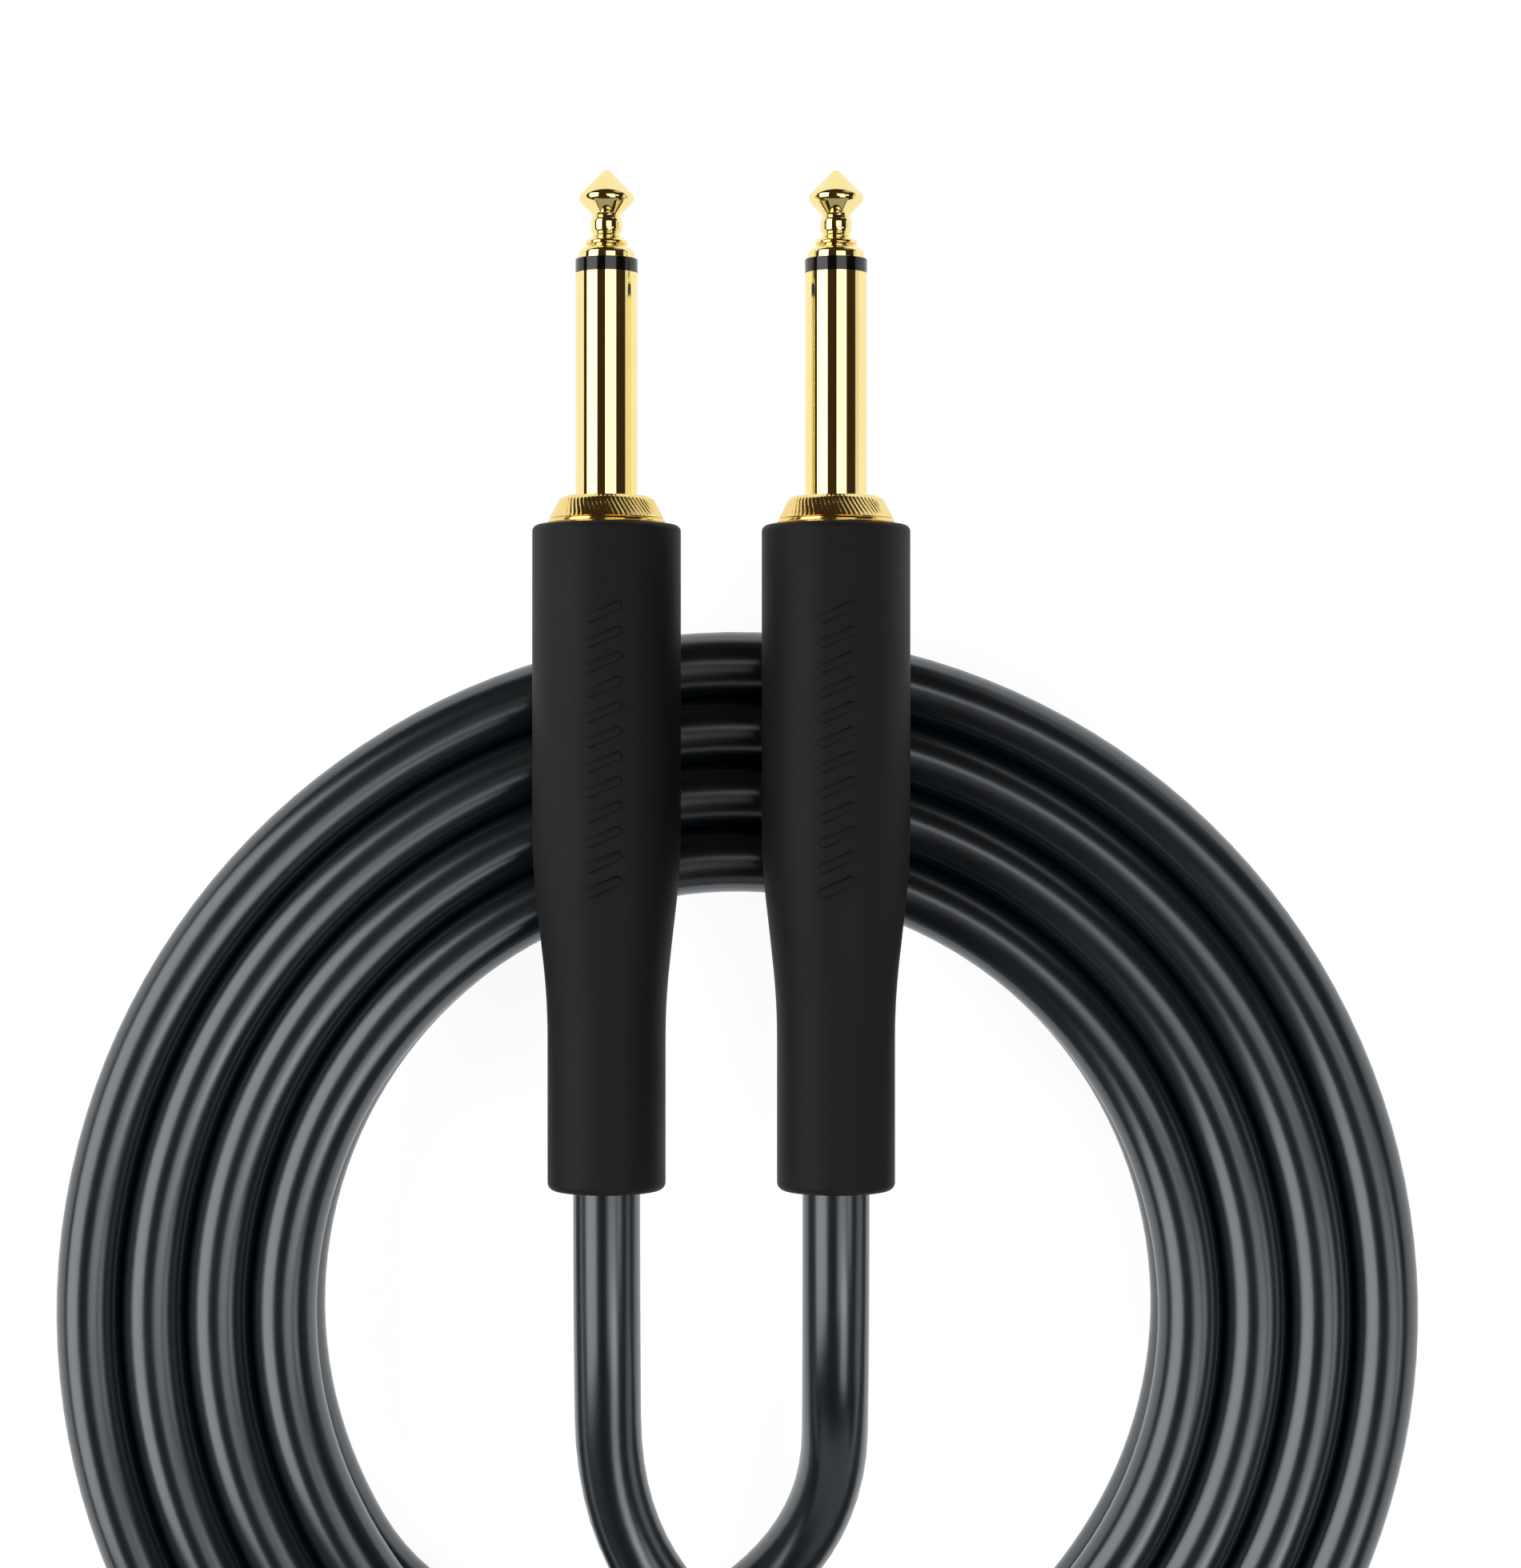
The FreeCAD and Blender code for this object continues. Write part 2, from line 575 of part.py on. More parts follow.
def shield_pigtail(side):
    """The braid of the cable, twisted together and led forward along the ground arm."""
    piece = doc.addObject("Part::Cylinder", f"shield_pigtail_{side}")
    piece.Label = f"shield_pigtail_{side}"
    piece.setExpression("Radius", "sizes.shield_d / 2")
    piece.setExpression("Height", "sizes.shield_len")
    piece.Placement.Rotation = FreeCAD.Rotation(FreeCAD.Vector(1, 0, 0), -90)
    piece.setExpression("Placement.Base.x", PLUGS[side])
    piece.setExpression("Placement.Base.y", f"sizes.collar_y + {JACKET_START}")
    piece.setExpression("Placement.Base.z", f"{AXIS_Z} - {SHIELD_DROP}")
    return piece


def solder(name, side, station, rise, joined):
    """A blob of solder that fits round the pieces it joins."""
    piece = doc.addObject("Part::Ellipsoid", f"{name}_blob_{side}")
    piece.setExpression("Radius1", "sizes.solder_d / 2")
    piece.setExpression("Radius2", "sizes.solder_d / 2")
    piece.setExpression("Radius3", "sizes.solder_len / 2")
    piece.setExpression("Placement.Base.x", PLUGS[side])
    piece.setExpression("Placement.Base.y", f"sizes.collar_y + {station}")
    piece.setExpression("Placement.Base.z", f"{AXIS_Z} + {rise}")
    for tool in joined:
        cut = doc.addObject("Part::Cut", f"{name}_round_{tool.Name}")
        cut.Base, cut.Tool = piece, tool
        piece = cut
    piece.Label = f"{name}_{side}"
    return piece


def plug(side):
    """Every piece of one plug, and the free lead that leaves it."""
    lug, terminal = tip_lug(side), ground_terminal(side)
    wire, braid = centre_conductor(side), shield_pigtail(side)
    return [
        tip_contact(side), tip_insulator(side), sleeve_contact(side), rod_insulator(side),
        threaded_collar(side), rear_insulator(side), lug, terminal,
        core_insulation(side), wire, braid, jacket_end(side),
        solder("tip_solder", side, f"{WIRE_START} - sizes.solder_len / 2", f"{TAIL_RISE} / 2",
               [lug, wire]),
        solder("ground_solder", side, f"{SHIELD_START} - sizes.solder_len / 4",
               f"(-{SHIELD_DROP} - sizes.ground_plate / 4)", [terminal, braid]),
        liner(side), barrel(side), grip(side), lead(side),
    ]


def main():
    pieces = [coil()]
    for side in PLUGS:
        pieces += plug(side)
    doc.recompute()
    failed = [item.Name for item in doc.Objects if {"Invalid", "Error"} & set(item.State)]
    failed += [piece.Label for piece in pieces
               if piece.Shape.isNull() or not piece.Shape.isValid() or not piece.Shape.Solids]
    if failed:
        raise RuntimeError(f"these did not build: {failed}")
    os.makedirs("parts", exist_ok=True)
    for piece in pieces:
        piece.Shape.exportStep(f"parts/{piece.Label}.step")
    print(f"{len(pieces)} sub-parts written")


main()
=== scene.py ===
"""Looks of an instrument cable: coiled black cable with a gold quarter-inch plug on each end.

Everything is in metres, +Z up, with the coil lying on the floor round the origin and both plugs
lying on it, tips towards +Y. Sizes in the classes are in millimetres, as a maker gives them, and
places along a plug are stations: 0 is the collar's front face, positive towards the tip.
"""
from __future__ import annotations

import logging
import math
from collections.abc import Callable, Sequence
from dataclasses import dataclass, field
from enum import Enum

import bmesh
import bpy
from mathutils import Matrix, Vector

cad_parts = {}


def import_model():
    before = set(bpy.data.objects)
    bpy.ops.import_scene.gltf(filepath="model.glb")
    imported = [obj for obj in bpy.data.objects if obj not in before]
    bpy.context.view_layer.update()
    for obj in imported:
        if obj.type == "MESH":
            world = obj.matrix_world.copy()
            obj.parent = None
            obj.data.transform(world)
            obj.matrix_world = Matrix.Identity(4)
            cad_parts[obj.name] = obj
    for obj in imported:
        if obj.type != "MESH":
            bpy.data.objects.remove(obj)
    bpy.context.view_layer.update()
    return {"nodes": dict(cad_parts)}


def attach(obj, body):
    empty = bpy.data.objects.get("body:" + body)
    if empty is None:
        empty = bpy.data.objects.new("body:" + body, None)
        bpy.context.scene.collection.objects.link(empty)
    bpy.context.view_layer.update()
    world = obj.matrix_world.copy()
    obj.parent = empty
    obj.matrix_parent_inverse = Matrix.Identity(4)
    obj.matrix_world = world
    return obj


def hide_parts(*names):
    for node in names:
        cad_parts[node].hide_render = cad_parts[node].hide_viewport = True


LOG = logging.getLogger("instrument_cable")
MM = 0.001
FULL_TURN = 360.0
WELD = 1e-7

# Where the plugs lie, in millimetres: across, above the floor, and along to the collars' fronts.
PLUG_A = -13.2
PLUG_B = 10.1
PLUG_HEIGHT = 21.45
COLLAR_FRONT = 84.5


class Body(Enum):
    """The moving bodies that pieces ride on."""

    FIXED = "cable_and_plugs"
    HANDLE_A = "handle_a"
    HANDLE_B = "handle_b"


class Side(Enum):
    """The two ends of the cable."""

    A = "a"
    B = "b"

    def node(self, name: str) -> str:
        """The name of this side's node."""
        return f"{name}_{self.value}"

    @property
    def handle(self) -> Body:
        """The body of this side's grip and barrel."""
        return Body.HANDLE_A if self is Side.A else Body.HANDLE_B


class Slot(Enum):
    """The record's material slot names."""

    JACKET = "cable_jacket"
    GOLD = "gold_plate"
    GRIP = "grip_black"


# --------------------------------------------------------------------------- shading


class NodeWork:
    """A node tree, with short calls that add nodes and join them."""

    def __init__(self, tree: bpy.types.NodeTree) -> None:
        """Start with no nodes.

        Args:
            tree: the tree to work in.
        """
        self.tree = tree
        self.tree.nodes.clear()

    def join(self, source: bpy.types.NodeSocket, target: bpy.types.NodeSocket) -> None:
        """Link two sockets."""
        self.tree.links.new(source, target)

    def feed(self, socket: bpy.types.NodeSocket, value: object) -> None:
        """Give an input a value, or join a socket to it.

        Args:
            socket: the input.
            value: a number, a vector, a colour or a socket.
        """
        if isinstance(value, bpy.types.NodeSocket):
            self.join(value, socket)
        else:
            socket.default_value = value

    def add(self, kind: str, settings: dict[str, object] | None = None,
            **inputs: object) -> bpy.types.Node:
        """Add a node.

        Args:
            kind: the node's type name.
            settings: properties to set on the node.
            inputs: input values or sockets, by socket name with _ for a space.

        Returns:
            The new node.
        """
        node = self.tree.nodes.new(kind)
        for key, value in (settings or {}).items():
            setattr(node, key, value)
        for key, value in inputs.items():
            self.feed(node.inputs[key.replace("_", " ")], value)
        return node

    def math(self, operation: str, *values: object) -> bpy.types.NodeSocket:
        """Add a Math node.

        Args:
            operation: what it does.
            values: its inputs, as numbers or sockets.

        Returns:
            The result socket.
        """
        node = self.add("ShaderNodeMath", {"operation": operation})
        for socket, value in zip(node.inputs, values):
            self.feed(socket, value)
        return node.outputs[0]

    def spread(self, height: bpy.types.NodeSocket, low: float, high: float, start: float = 0.3,
               end: float = 0.7, easing: str = "LINEAR") -> bpy.types.NodeSocket:
        """Map a height onto a range of values.

        Args:
            height: the pattern.
            low: value at start.
            high: value at end.
            start: pattern height that gives low.
            end: pattern height that gives high.
            easing: how the values run from low to high.

        Returns:
            The value socket.
        """
        node = self.add("ShaderNodeMapRange", {"interpolation_type": easing}, Value=height,
                        From_Min=start, From_Max=end, To_Min=low, To_Max=high)
        return node.outputs[0]


class Shading(NodeWork):
    """One material's node tree, with patterns and their uses."""

    def __init__(self, name: str) -> None:
        """Start an empty material with one Principled shader.

        Args:
            name: the material's name.
        """
        self.material = bpy.data.materials.new(name)
        self.material.use_nodes = True
        super().__init__(self.material.node_tree)
        output = self.add("ShaderNodeOutputMaterial")
        self.surface = self.add("ShaderNodeBsdfPrincipled")
        self.join(self.surface.outputs[0], output.inputs["Surface"])

    def principled(self, **inputs: object) -> None:
        """Set the shader's inputs, by socket name with _ for a space."""
        for key, value in inputs.items():
            self.feed(self.surface.inputs[key.replace("_", " ")], value)

    def place(self, cells: Sequence[float], space: str = "Object") -> bpy.types.NodeSocket:
        """Texture coordinates, scaled.

        Args:
            cells: how many cells of a pattern go in one unit, on each axis.
            space: which coordinates to read.

        Returns:
            The vector socket.
        """
        coordinates = self.add("ShaderNodeTexCoord")
        mapping = self.add("ShaderNodeMapping", Vector=coordinates.outputs[space],
                           Scale=tuple(cells))
        return mapping.outputs[0]

    def noise(self, cells: Sequence[float], octaves: float = 3.0, roughness: float = 0.6,
              space: str = "Object") -> bpy.types.NodeSocket:
        """A noise pattern's height, about 0 to 1.

        Args:
            cells: how many cells go in one unit, on each axis.
            octaves: how many finer patterns are laid over it.
            roughness: how strong the finer patterns are.
            space: which coordinates to read.

        Returns:
            The height socket.
        """
        node = self.add("ShaderNodeTexNoise", Vector=self.place(cells, space), Scale=1.0,
                        Detail=octaves, Roughness=roughness)
        return node.outputs[0]

    def tint(self, factor: bpy.types.NodeSocket, first: Sequence[float],
             second: Sequence[float]) -> bpy.types.NodeSocket:
        """A colour between two, by a pattern.

        Args:
            factor: a pattern, whose low parts give the first colour and high parts the second.
            first: RGB.
            second: RGB.

        Returns:
            The colour socket.
        """
        share = self.spread(factor, 0.0, 1.0)
        node = self.add("ShaderNodeMix", {"data_type": "RGBA"})
        self.join(share, node.inputs[0])
        node.inputs[6].default_value = (*first, 1.0)
        node.inputs[7].default_value = (*second, 1.0)
        return node.outputs[2]

    def relief(self, height: bpy.types.NodeSocket, depth: float,
               over: bpy.types.NodeSocket | None = None) -> bpy.types.NodeSocket:
        """A bump from a pattern.

        Args:
            height: the pattern.
            depth: its height in metres.
            over: a normal that it is laid over.

        Returns:
            The normal socket.
        """
        node = self.add("ShaderNodeBump", Height=height, Distance=depth, Strength=1.0)
        if over is not None:
            self.join(over, node.inputs["Normal"])
        return node.outputs[0]


class Finish:
    """A finish, made as a material the first time it is asked for."""

    name: str

    def material(self) -> bpy.types.Material:
        """Find or make the material.

        Returns:
            The finish's material.
        """
        found = bpy.data.materials.get(self.name)
        if found is None:
            shading = Shading(self.name)
            self.shade(shading)
            found = shading.material
        return found

    def shade(self, shading: Shading) -> None:
        """Build the nodes.

        Args:
            shading: the material to build them in.
        """
        raise NotImplementedError


@dataclass(frozen=True)
class PlatedMetal(Finish):
    """Bright plate over turned metal, with the faint rings that a lathe leaves across its axis."""

    name: str
    colour: tuple[float, float, float]
    deep: tuple[float, float, float]
    roughness: float = 0.045
    ring_depth: float = 1.2e-6
    smudged: tuple[float, float] = (0.75, 1.35)
    ring_cells: tuple[float, float, float] = (60.0, 9000.0, 60.0)
    patch_cells: tuple[float, float, float] = (220.0, 90.0, 220.0)
    smudge_cells: tuple[float, float, float] = (900.0, 900.0, 900.0)

    def shade(self, shading: Shading) -> None:
        """Build the nodes.

        Args:
            shading: the material to build them in.
        """
        rings = shading.noise(self.ring_cells)
        patches = shading.noise(self.patch_cells)
        smudges = shading.noise(self.smudge_cells, 4.0, 0.65)
        shading.principled(
            Base_Color=shading.tint(patches, self.colour, self.deep),
            Metallic=1.0,
            Roughness=shading.spread(smudges, *(self.roughness * share for share in self.smudged)),
            Normal=shading.relief(rings, self.ring_depth),
        )


@dataclass(frozen=True)
class CableJacket(Finish):
    """Smooth black vinyl, with the faint lengthwise lines that extrusion leaves."""

    name: str = "black_vinyl"
    colour: tuple[float, float, float] = (0.0042, 0.0092, 0.0128)
    worn: tuple[float, float, float] = (0.0052, 0.0108, 0.0146)
    roughness: tuple[float, float] = (0.225, 0.265)
    length_mm: float = 3000.0
    girth_mm: float = 21.4
    line_length_mm: float = 60.0
    line_width_mm: float = 0.9
    line_depth: float = 1.5e-6
    grain_cells: tuple[float, float, float] = (7000.0, 7000.0, 7000.0)
    grain_depth: float = 0.5e-6
    bloom_cells: tuple[float, float, float] = (90.0, 90.0, 90.0)

    def shade(self, shading: Shading) -> None:
        """Build the nodes.

        Args:
            shading: the material to build them in.
        """
        line_cells = (self.length_mm / self.line_length_mm, self.girth_mm / self.line_width_mm, 1.0)
        lines = shading.noise(line_cells, space="UV")
        grain = shading.noise(self.grain_cells, 2.0)
        bloom = shading.noise(self.bloom_cells, 4.0)
        normal = shading.relief(lines, self.line_depth)
        shading.principled(
            Base_Color=shading.tint(bloom, self.colour, self.worn),
            Roughness=shading.spread(bloom, *self.roughness),
            IOR=1.78,
            Specular_IOR_Level=0.62,
            Specular_Tint=(0.86, 0.93, 1.0, 1.0),
            Normal=shading.relief(grain, self.grain_depth, normal),
        )


@dataclass(frozen=True)
class SoftTouch(Finish):
    """Matt black soft-touch rubber with a very fine moulded grain."""

    name: str = "soft_touch_rubber"
    colour: tuple[float, float, float] = (0.0066, 0.0066, 0.0068)
    rubbed: tuple[float, float, float] = (0.0088, 0.0088, 0.0090)
    roughness: tuple[float, float] = (0.56, 0.64)
    grain_cells: tuple[float, float, float] = (4200.0, 4200.0, 4200.0)
    grain_depth: float = 9.0e-6
    patch_cells: tuple[float, float, float] = (160.0, 110.0, 160.0)

    def shade(self, shading: Shading) -> None:
        """Build the nodes.

        Args:
            shading: the material to build them in.
        """
        grain = shading.noise(self.grain_cells)
        patches = shading.noise(self.patch_cells, 4.0)
        shading.principled(
            Base_Color=shading.tint(patches, self.colour, self.rubbed),
            Roughness=shading.spread(patches, *self.roughness),
            Specular_IOR_Level=0.24,
            Normal=shading.relief(grain, self.grain_depth),
        )


@dataclass(frozen=True)
class Moulding(Finish):
    """A moulded plastic, glossy or satin, with slight flow marks."""

    name: str
    colour: tuple[float, float, float]
    deep: tuple[float, float, float]
    roughness: float
    see_through: float = 0.0
    varied: tuple[float, float] = (0.85, 1.2)
    flow_cells: tuple[float, float, float] = (380.0, 900.0, 380.0)
    grain_cells: tuple[float, float, float] = (5200.0, 5200.0, 5200.0)
    grain_depth: float = 2.0e-6

    def shade(self, shading: Shading) -> None:
        """Build the nodes.

        Args:
            shading: the material to build them in.
        """
        flow = shading.noise(self.flow_cells)
        grain = shading.noise(self.grain_cells, 2.0, 0.5)
        shading.principled(
            Base_Color=shading.tint(flow, self.colour, self.deep),
            Roughness=shading.spread(flow, *(self.roughness * share for share in self.varied)),
            Subsurface_Weight=self.see_through,
            Subsurface_Scale=0.001,
            Normal=shading.relief(grain, self.grain_depth),
        )


@dataclass(frozen=True)
class DullMetal(Finish):
    """A drawn or tinned metal that was never polished, with scuffs and a little tarnish."""

    name: str
    colour: tuple[float, float, float]
    tarnish: tuple[float, float, float]
    roughness: float
    strand_pitch: float = 0.0
    strand_scale: float = 0.35
    strand_slant: float = 0.45
    strand_depth: float = 6.0e-5
    cloud_cells: tuple[float, float, float] = (500.0, 500.0, 500.0)
    scuff_cells: tuple[float, float, float] = (2500.0, 300.0, 2500.0)
    scuff_depth: float = 3.0e-6
    varied: tuple[float, float] = (0.8, 1.3)

    def shade(self, shading: Shading) -> None:
        """Build the nodes.

        Args:
            shading: the material to build them in.
        """
        clouds = shading.noise(self.cloud_cells, 4.0, 0.65)
        scuffs = shading.noise(self.scuff_cells)
        normal = shading.relief(scuffs, self.scuff_depth)
        if self.strand_pitch:
            turns = 1.0 / (self.strand_pitch * MM)
            strand_cells = (turns, turns * self.strand_slant, turns)
            strands = shading.add("ShaderNodeTexWave", {"wave_profile": "SIN"},
                                  Vector=shading.place(strand_cells), Scale=self.strand_scale)
            normal = shading.relief(strands.outputs[1], self.strand_depth, normal)
        shading.principled(
            Base_Color=shading.tint(clouds, self.colour, self.tarnish),
            Metallic=1.0,
            Roughness=shading.spread(clouds, *(self.roughness * share for share in self.varied)),
            Normal=normal,
        )


@dataclass(frozen=True)
class StudioPaper(Finish):
    """White paper sweep under the object."""

    name: str = "studio_paper"
    colour: tuple[float, float, float] = (0.23, 0.23, 0.23)
    pale: tuple[float, float, float] = (0.25, 0.25, 0.25)
    glow: float = 0.92
    fibre_cells: tuple[float, float, float] = (40.0, 40.0, 40.0)

    def shade(self, shading: Shading) -> None:
        """Build the nodes.

        Args:
            shading: the material to build them in.
        """
        shading.principled(
            Base_Color=shading.tint(shading.noise(self.fibre_cells), self.colour, self.pale),
            Roughness=0.9,
            Specular_IOR_Level=0.1,
            Emission_Color=(1.0, 1.0, 1.0, 1.0),
            Emission_Strength=self.glow,
        )


GOLD = PlatedMetal("bright_gold", (0.90, 0.765, 0.36), (0.88, 0.73, 0.315))
# The knurled collar's gold is darker and deeper than the plain plate: painted shade for the knurl's
# crevices.
SHADED_KNURL_GOLD = PlatedMetal("knurled_gold_painted_shade", (0.88, 0.70, 0.28), (0.82, 0.60, 0.20), 0.12, 0.5e-6)
BRASS = DullMetal("drawn_brass", (0.86, 0.66, 0.32), (0.66, 0.47, 0.20), 0.26)
TINNED = DullMetal("tinned_sheet", (0.78, 0.77, 0.73), (0.60, 0.58, 0.53), 0.30)
COPPER = DullMetal("copper_strands", (0.93, 0.50, 0.33), (0.72, 0.33, 0.19), 0.28, 0.5)
SOLDER = DullMetal("solder_joint", (0.72, 0.73, 0.74), (0.52, 0.53, 0.55), 0.22)
BLACK_RING = Moulding("black_plastic", (0.0015, 0.0015, 0.0018), (0.003, 0.003, 0.0034), 0.10)
NATURAL = Moulding("natural_nylon", (0.74, 0.71, 0.62), (0.66, 0.62, 0.52), 0.38, 0.15)
JACKET = CableJacket()
GRIP = SoftTouch()


# --------------------------------------------------------------------------- meshes


@dataclass
class Axis:
    """A plug's own axis, which runs along +Y."""

    x: float
    z: float
    collar_y: float

    def point(self, station: float, radius: float, turn: float) -> Vector:
        """A place on the plug.

        Args:
            station: along the axis, in millimetres.
            radius: from the axis, in millimetres.
            turn: angle round the axis from straight up, towards +X, in radians.

        Returns:
            The place in metres.
        """
        return Vector((self.x + radius * math.sin(turn), self.collar_y + station,
                       self.z + radius * math.cos(turn))) * MM

    def read(self, place: Vector) -> tuple[float, float, float]:
        """The station, radius and turn of a place.

        Args:
            place: a place in metres.

        Returns:
            Station and radius in millimetres, turn in radians.
        """
        across = place.x / MM - self.x
        up = place.z / MM - self.z
        return place.y / MM - self.collar_y, math.hypot(across, up), math.atan2(across, up)


class Lathe:
    """Turns closed outlines about a plug's axis and reshapes what they make."""

    def __init__(self, name: str, axis: Axis) -> None:
        """Start an empty mesh.

        Args:
            name: the piece's name.
            axis: the axis it is turned on.
        """
        self.name = name
        self.axis = axis
        self.shape = bmesh.new()

    def turn(self, outline: Sequence[tuple[float, float]], steps: int,
             closed: bool = True) -> list[bmesh.types.BMVert]:
        """Spin an outline once round.

        Args:
            outline: stations and radii in order.
            steps: how many divisions round.
            closed: whether its last corner joins its first; if not, both lie on the axis.

        Returns:
            The vertices that this made.
        """
        before = set(self.shape.verts)
        corners = [self.shape.verts.new(self.axis.point(s, r, 0.0)) for s, r in outline]
        pairs = zip(corners, corners[1:] + corners[:1] if closed else corners[1:])
        edges = [self.shape.edges.new(pair) for pair in pairs]
        bmesh.ops.spin(self.shape, geom=corners + edges, cent=self.axis.point(0.0, 0.0, 0.0),
                       axis=(0.0, 1.0, 0.0), angle=math.tau, steps=steps, use_merge=True,
                       use_duplicate=False)
        return [v for v in self.shape.verts if v not in before]

    def carve(self, vertices: Sequence[bmesh.types.BMVert],
              radius: Callable[[float, float, float], float]) -> None:
        """Move vertices in or out.

        Args:
            vertices: which ones.
            radius: gives the new radius for a station, radius and turn.
        """
        for vertex in vertices:
            station, old, turn = self.axis.read(vertex.co)
            vertex.co = self.axis.point(station, radius(station, old, turn), turn)

    def finish(self, crease: float) -> bpy.types.Object:
        """Close the mesh and put it in the scene.

        Args:
            crease: edges sharper than this many degrees stay sharp.

        Returns:
            The piece.
        """
        bmesh.ops.remove_doubles(self.shape, verts=self.shape.verts[:], dist=WELD)
        return place_mesh(self.name, self.shape, crease)


def softened(corners: Sequence[tuple[float, float, float]],
             steps: int = 10) -> list[tuple[float, float]]:
    """An outline with its corners eased into curves.

    Args:
        corners: station, radius and how far from the corner its curve starts.
        steps: divisions of each curve.

    Returns:
        Stations and radii in order.
    """
    outline = []
    places = [Vector(corner[:2]) for corner in corners]
    for index, (station, radius, cut) in enumerate(corners):
        if not cut:
            outline.append((station, radius))
            continue
        here = places[index]
        start = here + (places[index - 1] - here).normalized() * cut
        end = here + (places[index + 1] - here).normalized() * cut
        for step in range(steps + 1):
            share = step / steps
            place = start.lerp(here, share).lerp(here.lerp(end, share), share)
            outline.append((place.x, place.y))
    return outline


def place_mesh(name: str, shape: bmesh.types.BMesh, crease: float) -> bpy.types.Object:
    """Turn a bmesh into an object in the scene, smooth but for its sharp edges.

    Args:
        name: the object's name.
        shape: the bmesh, which is used up.
        crease: edges sharper than this many degrees stay sharp.

    Returns:
        The object.
    """
    bmesh.ops.recalc_face_normals(shape, faces=shape.faces[:])
    mesh = bpy.data.meshes.new(name)
    shape.to_mesh(mesh)
    shape.free()
    mesh.polygons.foreach_set("use_smooth", [True] * len(mesh.polygons))
    mesh.set_sharp_from_angle(angle=math.radians(crease))
    piece = bpy.data.objects.new(name, mesh)
    bpy.context.scene.collection.objects.link(piece)
    return piece


def dress(piece: bpy.types.Object, finish: Finish) -> None:
    """Give a piece one finish."""
    piece.data.materials.clear()
    piece.data.materials.append(finish.material())


def settle(piece: bpy.types.Object, body: Body, finish: Finish,
           nodes: Sequence[str] = ()) -> None:
    """Dress a new piece, tie it to its body and hide the CAD nodes that it replaces.

    Args:
        piece: the new piece.
        body: what it rides on.
        finish: its finish.
        nodes: CAD nodes that it replaces.
    """
    dress(piece, finish)
    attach(piece, body.value)
    if nodes:
        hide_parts(*nodes)
    LOG.info("piece %s rides on %s", piece.name, body.value)


# --------------------------------------------------------------------------- the cable


